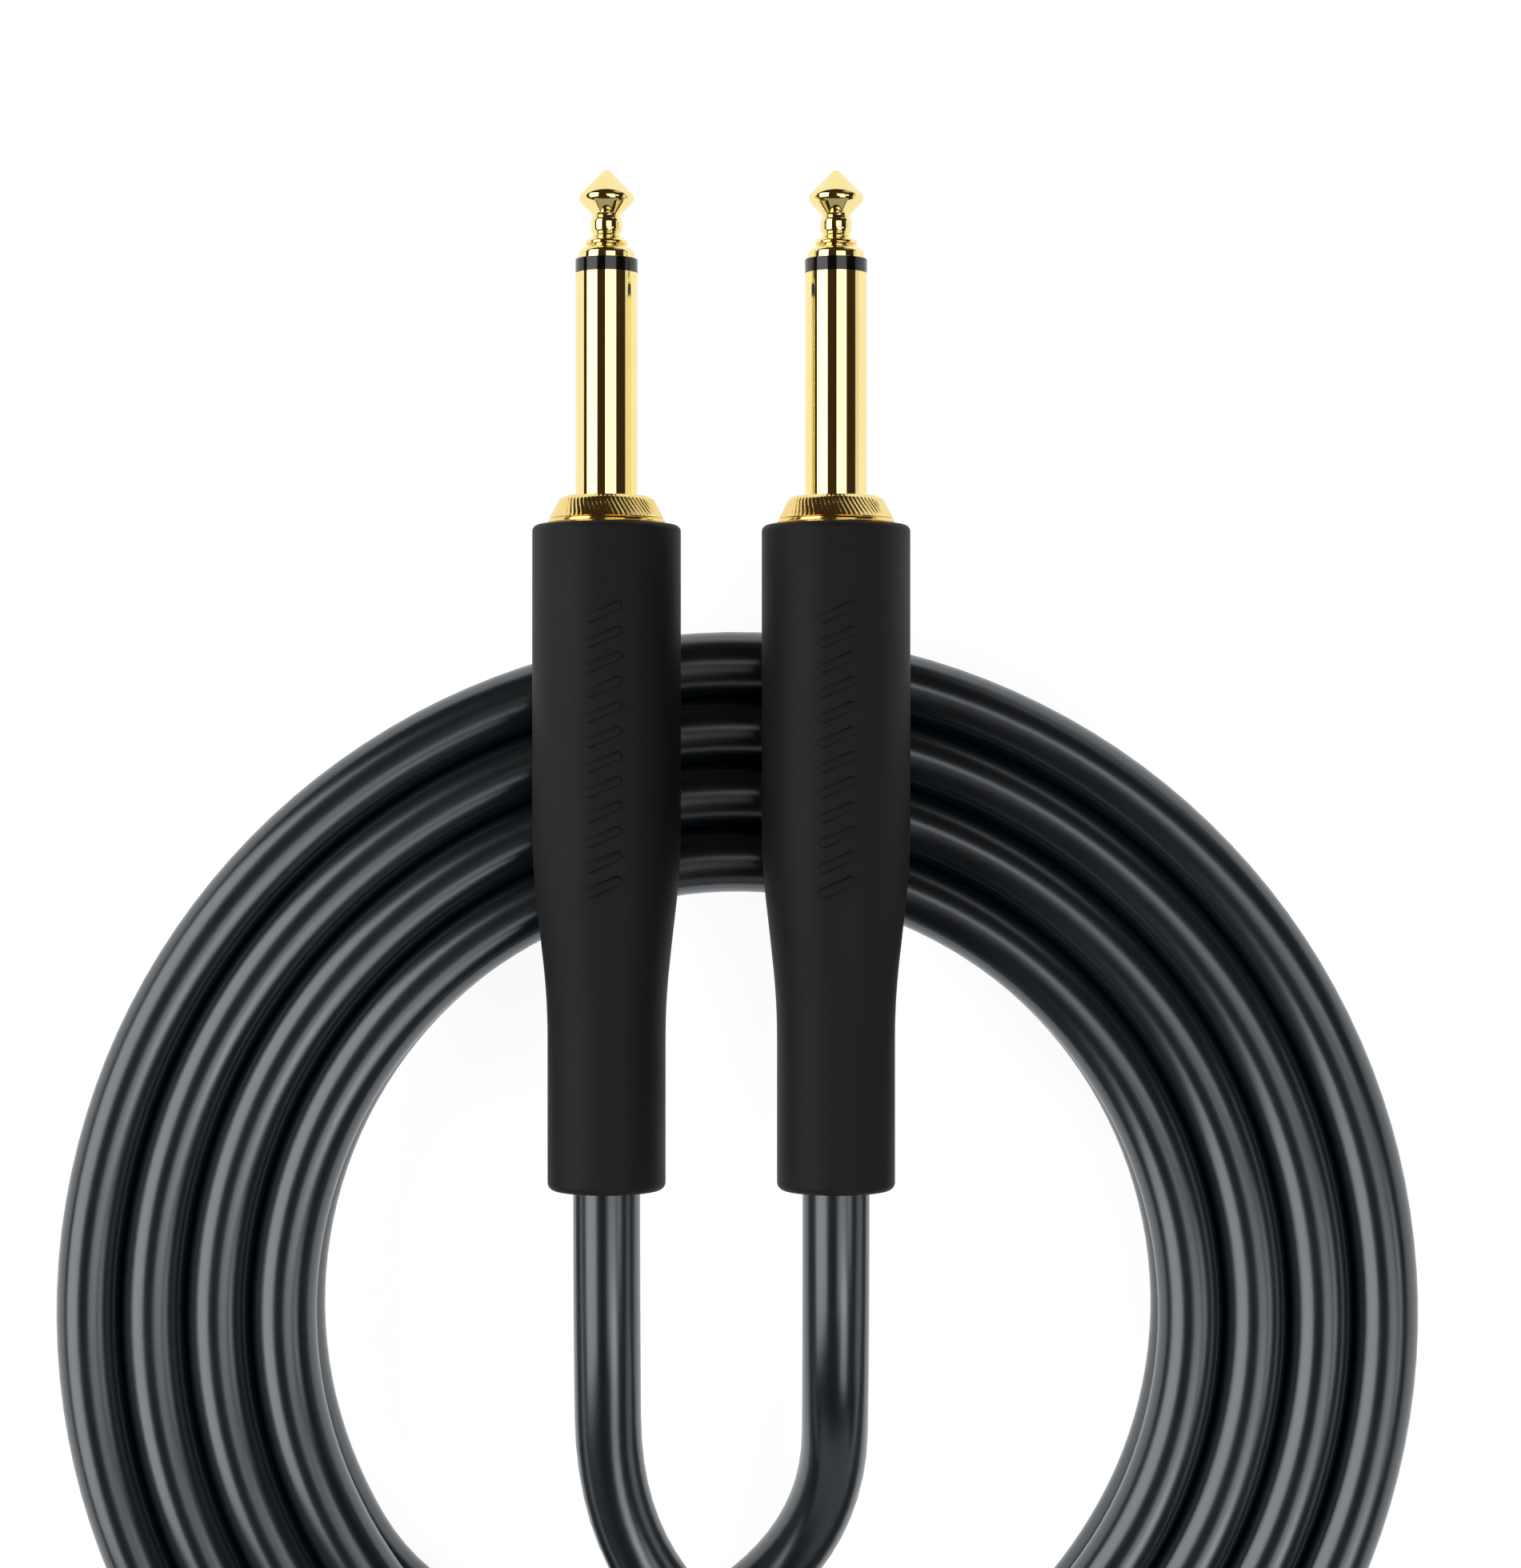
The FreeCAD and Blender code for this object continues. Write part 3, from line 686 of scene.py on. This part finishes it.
@dataclass
class Cable:
    """The cable: a lead from each plug and two layers of four turns, all one run.

    The upper layer is wound outwards and the lower one back inwards. Angles are in degrees from
    +X, and from shift_from to shift_to the cable steps across from one turn to the next. It is
    drawn a hair thicker than it is, so that no light passes between turns that touch.
    """

    nodes: tuple[str, ...] = ("coil", "lead_a", "lead_b")
    diameter: float = 6.8
    snug: float = 0.03
    length: float = 3000.0
    inner_radius: float = 47.5
    layer_turns: int = 4
    first_angle: float = -27.0
    last_angle: float = 200.0
    shift_from: float = 217.0
    shift_to: float = 323.0
    steps: int = 137
    rings_each: int = 8
    edge_steps: int = 10
    from_plug_a: tuple[tuple[float, float, float], ...] = (
        (PLUG_A, 16.15, PLUG_HEIGHT), (PLUG_A, 1.5, PLUG_HEIGHT), (PLUG_A, -20.7, 15.6),
        (-2.5, -35.5, 13.0), (14.9, -41.3, 11.0), (32.4, -35.9, 10.2), (43.0, -21.9, 10.2),
    )
    from_plug_b: tuple[tuple[float, float, float], ...] = (
        (PLUG_B, 16.15, PLUG_HEIGHT), (PLUG_B, -2.5, PLUG_HEIGHT), (PLUG_B, -20.8, 10.2),
        (-1.2, -34.1, 4.4), (-19.2, -39.0, 3.4), (-36.5, -31.8, 3.4), (-45.3, -16.5, 3.4),
    )
    exit_point: tuple[float, float, float] = (PLUG_A, 14.15, PLUG_HEIGHT)

    def turn_place(self, index: int) -> tuple[float, float]:
        """Where a turn lies, counted from the upper layer's inner turn.

        Args:
            index: which turn.

        Returns:
            Its radius and its height, in millimetres.
        """
        lower = index >= self.layer_turns
        across = 2 * self.layer_turns - 1 - index if lower else index
        height = self.diameter * (0.5 if lower else 1.5)
        return self.inner_radius + self.diameter * across, height

    def coil_point(self, angle: float, widen: float) -> tuple[float, float, float]:
        """A control point on the coil.

        Args:
            angle: how far round from +X, in degrees, counted on through the turns.
            widen: how much further out a control point lies than the turn itself.

        Returns:
            The point in millimetres.
        """
        span = self.shift_to - self.shift_from
        passed = (angle - self.shift_from) / FULL_TURN
        index = min(max(math.floor(passed) + 1, 0), 2 * self.layer_turns - 1)
        into = (passed - math.floor(passed)) * FULL_TURN
        radius, height = self.turn_place(index)
        if into < span and index > 0:
            share = into / span
            eased = share * share * (3.0 - 2.0 * share)
            last_radius, last_height = self.turn_place(index - 1)
            radius = last_radius * (1.0 - eased) + radius * eased
            height = last_height * (1.0 - eased) + height * eased
        turn = math.radians(angle)
        return radius * widen * math.cos(turn), radius * widen * math.sin(turn), height

    def points(self) -> list[tuple[float, float, float]]:
        """Work out the whole run.

        Returns:
            The control points from plug A to plug B, in millimetres.
        """
        full_turns = 2 * self.layer_turns - 1
        sweep = self.last_angle + FULL_TURN * full_turns - self.first_angle
        step = sweep / self.steps
        widen = 1.0 / math.cos(math.radians(step / 2.0))
        coil = [self.coil_point(self.first_angle + step * k, widen) for k in range(1, self.steps)]
        return [*self.from_plug_a, *coil, *reversed(self.from_plug_b)]

    def build(self) -> None:
        """Lay the cable."""
        curve = bpy.data.curves.new("cable", "CURVE")
        curve.dimensions = "3D"
        curve.resolution_u = self.rings_each
        curve.render_resolution_u = self.rings_each
        curve.bevel_depth = (self.diameter + self.snug) / 2.0 * MM
        curve.bevel_resolution = self.edge_steps
        curve.use_fill_caps = True
        run = curve.splines.new("NURBS")
        points = self.points()
        run.points.add(len(points) - 1)
        for point, place in zip(run.points, points):
            point.co = (*(Vector(place) * MM), 1.0)
        run.order_u = 3
        run.use_endpoint_u = True
        cable = bpy.data.objects.new("cable", curve)
        bpy.context.scene.collection.objects.link(cable)
        settle(cable, Body.FIXED, JACKET, self.nodes)

    def dress(self, nodes: dict[str, bpy.types.Object]) -> None:
        """Give the CAD nodes that the cable stands for its finish.

        Args:
            nodes: all CAD nodes by name.
        """
        for name in self.nodes:
            dress(nodes[name], JACKET)


# --------------------------------------------------------------------------- the plugs


@dataclass
class TipContact:
    """The turned tip with its head, neck, small disc and bead, and the rod behind it.

    Pairs are the front and back station of a part, except head_edge, a station and a radius.
    """

    point: float = 33.2
    head_edge: tuple[float, float] = (30.35, 3.12)
    head_round: float = 0.85
    neck: tuple[float, float] = (28.12, 27.0)
    neck_radius: float = 1.62
    disc: tuple[float, float] = (25.95, 25.6)
    disc_radius: float = 2.2
    bead: tuple[float, float] = (24.95, 24.1)
    bead_radius: float = 2.88
    bead_front: float = 25.3
    front_groove: tuple[float, float] = (28.7, 28.5)
    middle_groove: tuple[float, float] = (26.7, 26.5)
    back_groove: tuple[float, float] = (25.5, 25.36)
    groove_radius: float = 1.36
    rod_radius: float = 1.25
    lug_back: float = -11.4
    rivet_radius: float = 1.45
    rivet_length: float = 0.7
    steps: int = 160
    crease: float = 40.0

    def corners(self) -> list[tuple[float, float, float]]:
        """Draw the outline from the point back.

        Returns:
            The station, radius and rounding of each corner.
        """
        groove, neck, disc, bead = (self.groove_radius, self.neck_radius, self.disc_radius,
                                    self.bead_radius)
        rivet_back = self.lug_back - self.rivet_length
        return [
            (self.point, 0.0, 0.0), (self.point, 0.28, 0.2), (*self.head_edge, self.head_round),
            (self.front_groove[0], groove + 0.1, 0.1), (self.front_groove[1], groove, 0.05),
            (self.neck[0], neck, 0.3), (self.neck[1], neck, 0.3),
            (self.middle_groove[0], groove, 0.05), (self.middle_groove[1], groove + 0.06, 0.08),
            (self.disc[0], disc, 0.22), (self.disc[1], disc, 0.14),
            (self.back_groove[0], groove + 0.3, 0.05), (self.back_groove[1], groove + 0.3, 0.05),
            (self.bead_front, bead - 0.55, 0.1), (self.bead[0], bead, 0.35),
            (self.bead[1], bead, 0.06), (self.bead[1], self.rod_radius, 0.0),
            (self.lug_back, self.rod_radius, 0.0),
            (self.lug_back, self.rivet_radius, 0.0), (rivet_back, self.rivet_radius, 0.25),
            (rivet_back, 0.0, 0.0),
        ]

    def build(self, side: Side, axis: Axis) -> None:
        """Turn the tip.

        Args:
            side: which plug.
            axis: the plug's axis.
        """
        lathe = Lathe(side.node("turned_tip"), axis)
        lathe.turn(softened(self.corners()), self.steps, closed=False)
        settle(lathe.finish(self.crease), Body.FIXED, GOLD, (side.node("tip_contact"),))


@dataclass
class Collar:
    """The knurled collar that holds the shaft, and the thread that the barrel turns on."""

    length: float = 2.7
    bore: float = 2.9
    front_radius: float = 4.85
    front_edge: float = 0.3
    front_slope: float = 1.3
    rim_radius: float = 5.95
    rim_length: float = 0.4
    rim_edge: float = 0.1
    groove_width: float = 0.1
    groove_depth: float = 0.22
    cone_drop: float = 0.12
    teeth: int = 70
    tooth_depth: float = 0.09
    tooth_lean: float = -1.9
    tooth_flank: float = 1.5
    tooth_fade: float = 0.15
    knurl_margin: float = 0.02
    knurl_rows: int = 9
    across_tooth: int = 8
    thread_radius: float = 4.9
    thread_depth: float = 0.45
    thread_pitch: float = 1.0
    thread_length: float = 6.4
    thread_root: float = 1.35
    thread_fade: float = 0.5
    thread_margin: float = 0.05
    thread_rows: int = 10
    stem_skin: float = 0.3
    stem_steps: int = 96
    crease: float = 28.0

    @property
    def knurl_back(self) -> float:
        """How far the knurl ends behind the front face."""
        return self.length - self.rim_length - self.groove_width

    def outline(self) -> list[tuple[float, float]]:
        """Draw the collar's head.

        Returns:
            The outline's stations and radii.
        """
        start, end = -self.front_edge, -self.knurl_back
        rise = self.rim_radius - self.cone_drop - self.front_radius
        cone = [
            (start + (end - start) * row / self.knurl_rows,
             self.front_radius + rise * row / self.knurl_rows)
            for row in range(self.knurl_rows + 1)
        ]
        rim_front = end - self.groove_width
        half = 0.5 * self.groove_width
        return [
            (0.0, self.bore), (0.0, self.front_radius - self.front_edge * self.front_slope), *cone,
            (end - half, self.rim_radius - self.groove_depth), (rim_front, self.rim_radius - half),
            (rim_front - self.rim_edge, self.rim_radius),
            (-self.length + self.rim_edge, self.rim_radius),
            (-self.length, self.rim_radius - self.rim_edge), (-self.length, self.bore),
        ]

    def knurl(self, station: float, radius: float, turn: float) -> float:
        """The radius of the knurled cone.

        Args:
            station: along the axis.
            radius: of the plain cone.
            turn: angle round the axis.

        Returns:
            The radius with its teeth cut.
        """
        share = (-station - self.front_edge) / (self.knurl_back - self.front_edge)
        if min(share, 1.0 - share) <= self.knurl_margin or radius < self.front_radius:
            return radius
        wave = (turn * self.teeth / math.tau + share * self.tooth_lean) % 1.0
        cut = max(0.0, 1.0 - abs(wave * 2.0 - 1.0) * self.tooth_flank)
        fade = min(1.0, share / self.tooth_fade, (1.0 - share) / self.tooth_fade)
        return radius - self.tooth_depth * fade * cut

    def thread(self, station: float, radius: float, turn: float) -> float:
        """The radius of the thread.

        Args:
            station: along the axis.
            radius: of the plain stem.
            turn: angle round the axis.

        Returns:
            The radius with the thread cut.
        """
        into = -self.length - station
        left = self.thread_length - into
        if min(into, left) <= self.thread_margin or radius < self.thread_radius - self.stem_skin:
            return radius
        wave = (station / self.thread_pitch + turn / math.tau) % 1.0
        cut = max(0.0, min(1.0, self.thread_root - abs(wave * 2.0 - 1.0) * 2.0))
        fade = min(1.0, into / self.thread_fade, left / self.thread_fade)
        return radius - self.thread_depth * fade * cut

    def build(self, side: Side, axis: Axis) -> None:
        """Turn, knurl and thread the collar.

        Args:
            side: which plug.
            axis: the plug's axis.
        """
        lathe = Lathe(side.node("knurled_collar"), axis)
        lathe.carve(lathe.turn(self.outline(), self.teeth * self.across_tooth), self.knurl)
        rows = int(self.thread_length / self.thread_pitch * self.thread_rows)
        step = self.thread_length / rows
        stem = [(-self.length - step * row, self.thread_radius) for row in range(rows + 1)]
        back = -self.length - self.thread_length
        lathe.carve(lathe.turn([(-self.length, self.bore), *stem, (back, self.bore)],
                               self.stem_steps), self.thread)
        settle(lathe.finish(self.crease), Body.FIXED, SHADED_KNURL_GOLD,
               (side.node("threaded_collar"),))


@dataclass
class GripRibs:
    """A row of low slanted ribs moulded on the grip's upper side."""

    first_station: float = -12.0
    last_station: float = -39.4
    count: int = 12
    width: float = 4.0
    thickness: float = 1.0
    lean: float = 24.0
    rise: float = 0.24
    sink: float = 0.15
    corners: int = 20
    edge_share: float = 0.9
    edge_steps: int = 3
    crease: float = 60.0
    grip_radius: float = 7.55

    def build(self, side: Side, axis: Axis) -> None:
        """Mould the ribs.

        Args:
            side: which plug.
            axis: the plug's axis.
        """
        shape = bmesh.new()
        pitch = (self.last_station - self.first_station) / (self.count - 1)
        for index in range(self.count):
            self.add_rib(shape, self.first_station + pitch * index)
        for vertex in shape.verts:
            across, station, height = vertex.co
            radius = self.grip_radius + height
            vertex.co = axis.point(station, radius, across / self.grip_radius)
        settle(place_mesh(side.node("grip_ribs"), shape, self.crease), side.handle, GRIP)

    def add_rib(self, shape: bmesh.types.BMesh, station: float) -> None:
        """Add one flat rib with rounded ends and edges.

        Args:
            shape: where to add it, in millimetres across, along and above the grip.
            station: where its middle is.
        """
        verts = bmesh.ops.create_circle(shape, cap_ends=True, segments=self.corners,
                                        radius=self.thickness / 2.0)["verts"]
        stretch = (self.width - self.thickness) / 2.0
        for vertex in verts:
            vertex.co.x += stretch if vertex.co.x > 0.0 else -stretch
        place = (Matrix.Translation((0.0, station, -self.sink))
                 @ Matrix.Rotation(math.radians(self.lean), 4, "Z"))
        bmesh.ops.transform(shape, matrix=place, verts=verts)
        top = bmesh.ops.extrude_face_region(shape, geom=[verts[0].link_faces[0]])["geom"]
        raised = [g for g in top if isinstance(g, bmesh.types.BMVert)]
        bmesh.ops.translate(shape, vec=(0.0, 0.0, self.sink + self.rise), verts=raised)
        lid = next(g for g in top if isinstance(g, bmesh.types.BMFace))
        bmesh.ops.bevel(shape, geom=lid.edges[:], offset=self.rise * self.edge_share,
                        offset_type="OFFSET", segments=self.edge_steps, profile=0.5,
                        affect="EDGES", material=-1)


@dataclass
class Plug:
    """One plug: dressed CAD nodes, a turned tip, a knurled collar and the grip's ribs."""

    side: Side
    axis: Axis
    tip: TipContact = field(default_factory=TipContact)
    collar: Collar = field(default_factory=Collar)
    ribs: GripRibs = field(default_factory=GripRibs)

    def finishes(self) -> dict[str, Finish]:
        """Choose a finish for each CAD node.

        Returns:
            The finishes by the node's name without its side.
        """
        return {
            "tip_contact": GOLD, "sleeve_contact": GOLD, "tip_insulator": BLACK_RING,
            "rod_insulator": NATURAL, "rear_insulator": NATURAL, "tip_lug": TINNED,
            "ground_terminal": TINNED, "core_insulation": NATURAL, "centre_conductor": COPPER,
            "shield_pigtail": COPPER, "tip_solder": SOLDER, "ground_solder": SOLDER,
            "jacket_end": JACKET, "liner": NATURAL, "barrel": BRASS, "grip": GRIP,
            "threaded_collar": SHADED_KNURL_GOLD,
        }

    def build(self) -> None:
        """Build the plug's own pieces."""
        self.tip.build(self.side, self.axis)
        self.collar.build(self.side, self.axis)
        self.ribs.build(self.side, self.axis)

    def dress(self, nodes: dict[str, bpy.types.Object]) -> None:
        """Give the plug's CAD nodes their finishes.

        Args:
            nodes: all CAD nodes by name.
        """
        for name, finish in self.finishes().items():
            dress(nodes[self.side.node(name)], finish)
        LOG.info("plug %s dressed", self.side.value)


# --------------------------------------------------------------------------- the studio


@dataclass(frozen=True)
class Softbox:
    """A far-off rectangular light.

    Its centre is a direction from the object. Its half sizes and its soft edge are measured at
    unit distance along that direction.
    """

    name: str
    centre: tuple[float, float, float]
    half_width: float
    half_height: float
    power: float
    edge: float = 0.04

    def axes(self) -> tuple[Vector, Vector, Vector]:
        """Set the light square to the object.

        Returns:
            The directions to its centre, across it and up it.
        """
        ahead = Vector(self.centre).normalized()
        across = Vector((0.0, 1.0, 0.0)).cross(ahead).normalized()
        return ahead, across, ahead.cross(across)


class Sky(NodeWork):
    """The world's light: soft boxes for the object to mirror, and plain white for the camera."""

    LEAST_AHEAD = 0.001

    def __init__(self, name: str) -> None:
        """Start an empty world.

        Args:
            name: the world's name.
        """
        self.world = bpy.data.worlds.new(name)
        self.world.use_nodes = True
        super().__init__(self.world.node_tree)

    def background(self, colour: Sequence[float], strength: object = 1.0) -> bpy.types.NodeSocket:
        """A background.

        Args:
            colour: RGB.
            strength: a number or a socket.

        Returns:
            The shader socket.
        """
        node = self.add("ShaderNodeBackground", Color=(*colour, 1.0), Strength=strength)
        return node.outputs[0]

    def box_light(self, direction: bpy.types.NodeSocket, box: Softbox) -> bpy.types.NodeSocket:
        """How bright one soft box is in a direction.

        Args:
            direction: the direction socket.
            box: the soft box.

        Returns:
            The strength socket.
        """
        parts = []
        for axis in box.axes():
            dot = self.add("ShaderNodeVectorMath", {"operation": "DOT_PRODUCT"})
            self.feed(dot.inputs[0], direction)
            self.feed(dot.inputs[1], axis)
            parts.append(dot.outputs["Value"])
        ahead = self.math("MAXIMUM", parts[0], self.LEAST_AHEAD)
        strength = self.math("GREATER_THAN", parts[0], self.LEAST_AHEAD)
        for part, half in zip(parts[1:], (box.half_width, box.half_height)):
            offset = self.math("ABSOLUTE", self.math("DIVIDE", part, ahead))
            fade = self.spread(offset, 1.0, 0.0, half - box.edge / 2.0, half + box.edge / 2.0,
                               "SMOOTHSTEP")
            strength = self.math("MULTIPLY", strength, fade)
        LOG.info("soft box %s lit", box.name)
        return self.math("MULTIPLY", strength, box.power)

    def build(self, boxes: Sequence[Softbox], dark: Sequence[float],
              seen: Sequence[float]) -> None:
        """Light the scene.

        Args:
            boxes: the soft boxes.
            dark: the colour of the room between them.
            seen: the colour that the camera sees.
        """
        direction = self.add("ShaderNodeTexCoord").outputs["Generated"]
        total = self.box_light(direction, boxes[0])
        for box in boxes[1:]:
            total = self.math("ADD", total, self.box_light(direction, box))
        lit = self.background((1.0, 1.0, 1.0), total)
        both = self.add("ShaderNodeAddShader")
        self.join(lit, both.inputs[0])
        self.join(self.background(dark), both.inputs[1])
        path = self.add("ShaderNodeLightPath")
        mix = self.add("ShaderNodeMixShader")
        self.join(path.outputs["Is Camera Ray"], mix.inputs[0])
        self.join(both.outputs[0], mix.inputs[1])
        self.join(self.background(seen), mix.inputs[2])
        output = self.add("ShaderNodeOutputWorld")
        self.join(mix.outputs[0], output.inputs["Surface"])
        bpy.context.scene.world = self.world


@dataclass
class Studio:
    """White floor, soft boxes and the camera, whose place is in millimetres."""

    floor_size: float = 8.0
    camera_at: tuple[float, float, float] = (2.43, 55.37, 371.45)
    lens: float = 79.1
    sensor: float = 36.0
    reach: tuple[float, float] = (0.01, 50.0)
    dark: tuple[float, float, float] = (0.042, 0.026, 0.016)
    seen: tuple[float, float, float] = (1.0, 1.0, 1.0)
    boxes: tuple[Softbox, ...] = (
        Softbox("left", (-0.809, 0.06, 0.588), 0.384, 0.62, 2.6),
        Softbox("top_right", (0.347, 0.13, 1.0), 0.332, 0.10, 2.0),
        Softbox("lower_middle", (0.36, -0.30, 1.0), 0.25, 0.20, 1.9, edge=0.06),
        Softbox("lower_right", (0.58, -0.68, 1.0), 0.18, 0.22, 2.3, edge=0.06),
        Softbox("side_right", (1.05, -0.20, 1.0), 0.12, 0.14, 1.9, edge=0.06),
        Softbox("far", (0.75, 1.0, 0.20), 0.30, 0.20, 0.5, edge=0.12),
        Softbox("near", (0.0, -1.0, 0.25), 0.8, 0.22, 0.36, edge=0.12),
        Softbox("right", (1.0, -0.1, 0.13), 0.13, 0.45, 0.85, edge=0.05),
    )

    def build(self) -> None:
        """Set up the floor, the light and the camera."""
        self.build_floor()
        Sky("studio_light").build(self.boxes, self.dark, self.seen)
        self.build_camera()
        LOG.info("studio set up")

    def build_floor(self) -> None:
        """Lay the white floor."""
        shape = bmesh.new()
        bmesh.ops.create_grid(shape, x_segments=1, y_segments=1, size=self.floor_size / 2.0)
        mesh = bpy.data.meshes.new("studio_floor")
        shape.to_mesh(mesh)
        shape.free()
        mesh.materials.append(StudioPaper().material())
        floor = bpy.data.objects.new("studio_floor", mesh)
        bpy.context.scene.collection.objects.link(floor)

    def build_camera(self) -> None:
        """Hang the camera straight above the plugs."""
        lens = bpy.data.cameras.new("camera")
        lens.lens = self.lens
        lens.sensor_width = self.sensor
        lens.clip_start, lens.clip_end = self.reach
        camera = bpy.data.objects.new("camera", lens)
        camera.location = Vector(self.camera_at) * MM
        scene = bpy.context.scene
        scene.collection.objects.link(camera)
        scene.camera = camera
        scene.view_settings.view_transform = "Standard"


def main() -> None:
    """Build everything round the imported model, in order."""
    logging.basicConfig(level=logging.INFO, format="%(message)s")
    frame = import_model()
    Studio().build()
    cable = Cable()
    cable.build()
    for side, across in ((Side.A, PLUG_A), (Side.B, PLUG_B)):
        plug = Plug(side, Axis(across, PLUG_HEIGHT, COLLAR_FRONT))
        plug.dress(frame["nodes"])
        plug.build()
    cable.dress(frame["nodes"])


if __name__ == "__main__":
    main()
